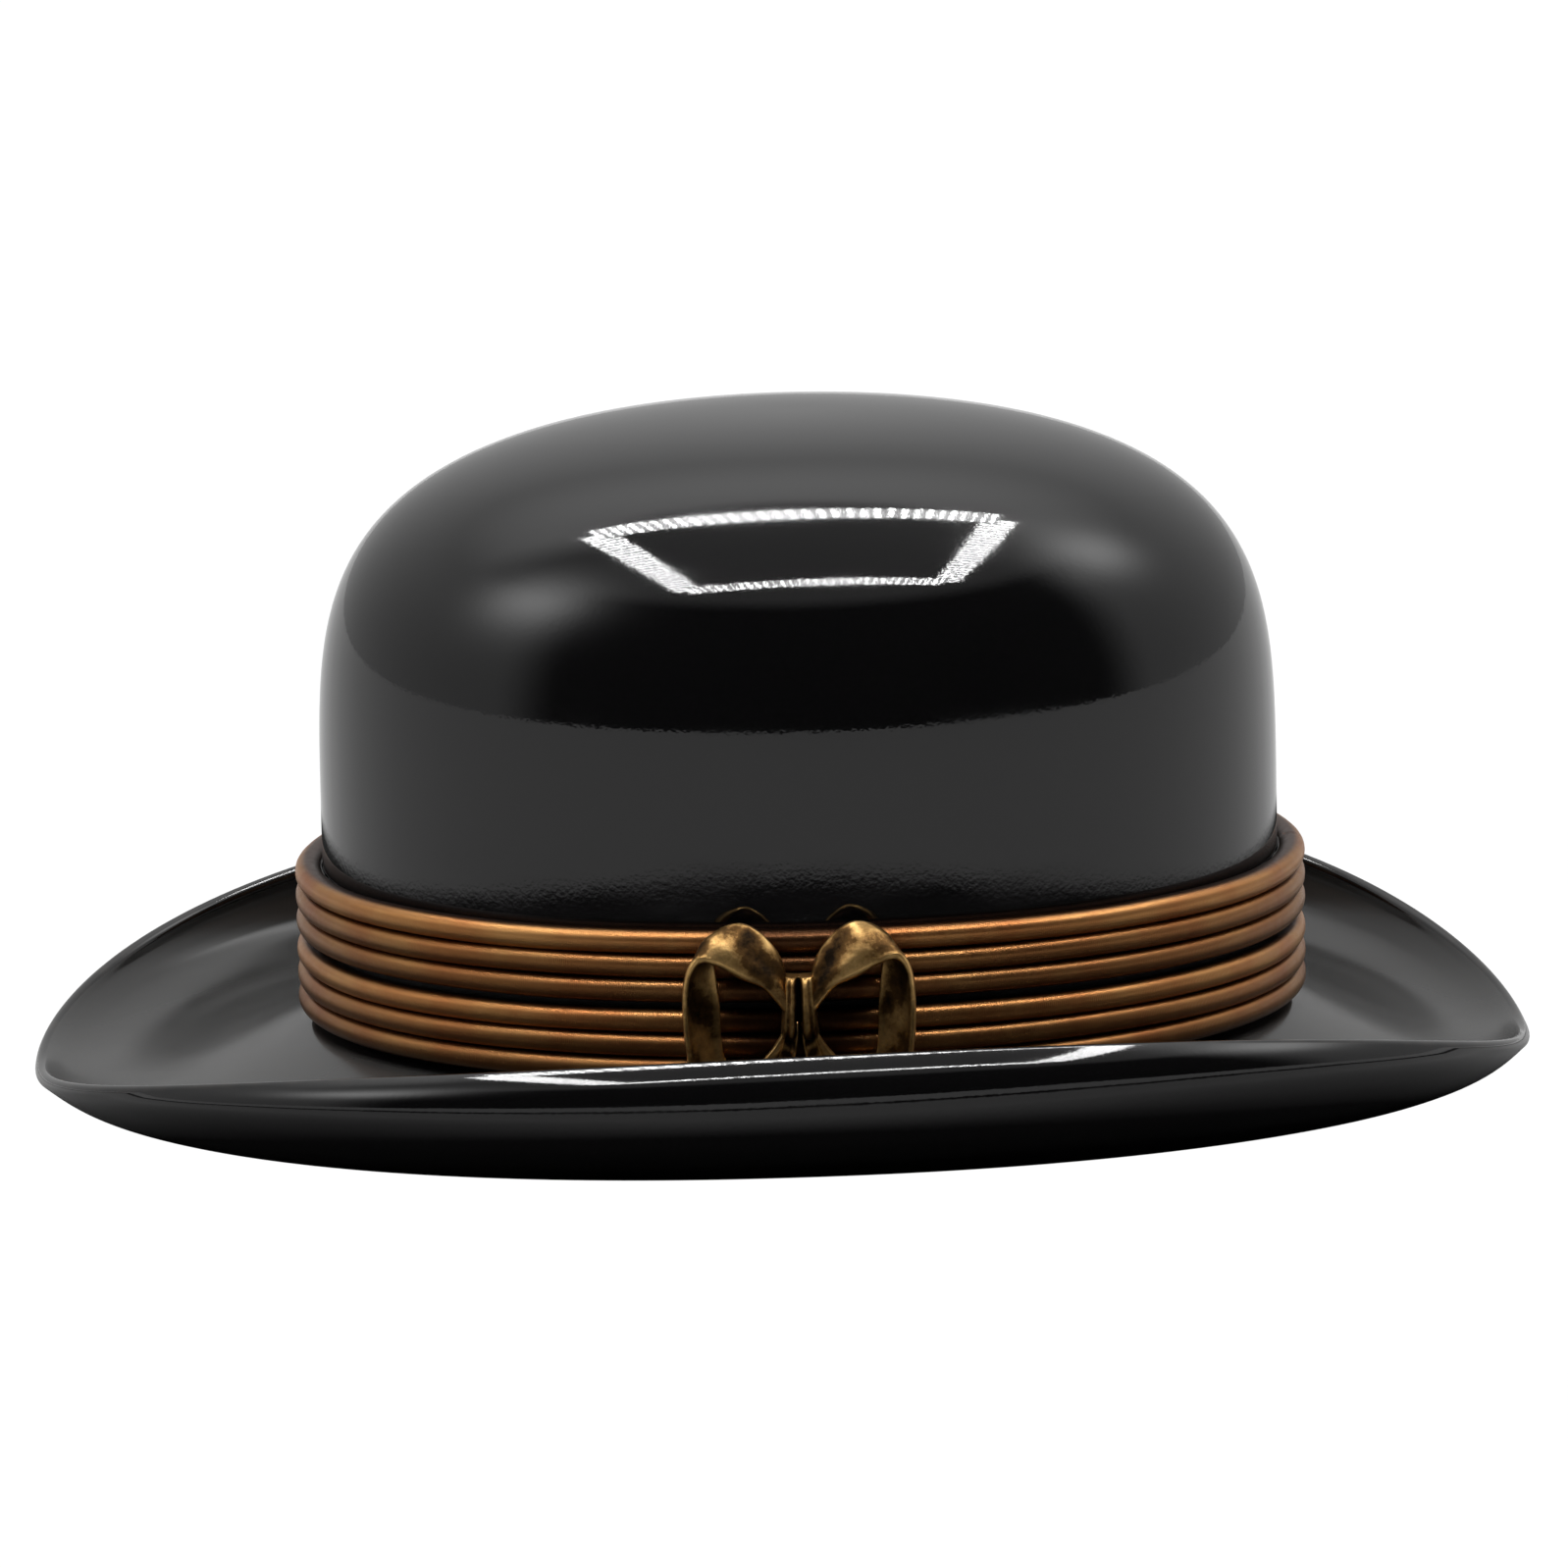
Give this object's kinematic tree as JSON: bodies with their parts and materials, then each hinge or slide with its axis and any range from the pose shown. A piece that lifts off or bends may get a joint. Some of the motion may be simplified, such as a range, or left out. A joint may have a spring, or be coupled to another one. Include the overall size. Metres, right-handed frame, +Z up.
{
  "type": "bowler hat",
  "caption": "Wearable bowler hat with a domed glossy black crown, a brim curled up and rolled at the sides, a bronze cord band with a ribbon bow, a leather sweatband and a satin lining.",
  "frame": {"origin": "under the middle of the brim, on the plane that the brim stands on", "axes": "+Z up; +X along the hat's length towards its back, so the front faces -X; the bow is on the -Y side, the wearer's left"},
  "size_m": [0.3261, 0.2728, 0.1466],
  "materials": {
    "black_lacquer": "black lacquer polished to a mirror gloss over stiffened felt",
    "bronze_cord": "bronze metal thread wound over a textile core, darkened in the valleys",
    "antique_brass": "antique brass, dark in the recesses and polished on the edges",
    "black_tape": "black woven cotton tape",
    "tan_leather": "tan roan leather, satin, stitched",
    "reed_cane": "plain split cane",
    "cream_satin": "cream satin",
    "clear_film": "clear glossy film",
    "ticket_paper": "blank matt paper",
    "black_ribbon": "black ribbed ribbon"
  },
  "bodies": {
    "root": {"hat_shell": "black_lacquer", "band_backing_tape": "black_tape", "bow_loop_front": "antique_brass", "bow_loop_rear": "antique_brass", "bow_knot": "antique_brass", "bow_tail_front": "antique_brass", "bow_tail_rear": "antique_brass", "sweatband": "tan_leather", "sweatband_reed": "reed_cane", "reed_tape": "black_tape", "sweatband_seam_tab": "tan_leather", "size_ticket": "ticket_paper", "sweatband_tie": "black_ribbon", "lining_wall": "cream_satin", "lining_tip": "cream_satin", "lining_tip_patch": "clear_film", "lining_piping": "cream_satin", "upper_cord_1": "bronze_cord", "upper_cord_2": "bronze_cord", "upper_cord_3": "bronze_cord", "lower_cord_1": "bronze_cord", "lower_cord_2": "bronze_cord", "lower_cord_3": "bronze_cord"}
  },
  "joints": []
}
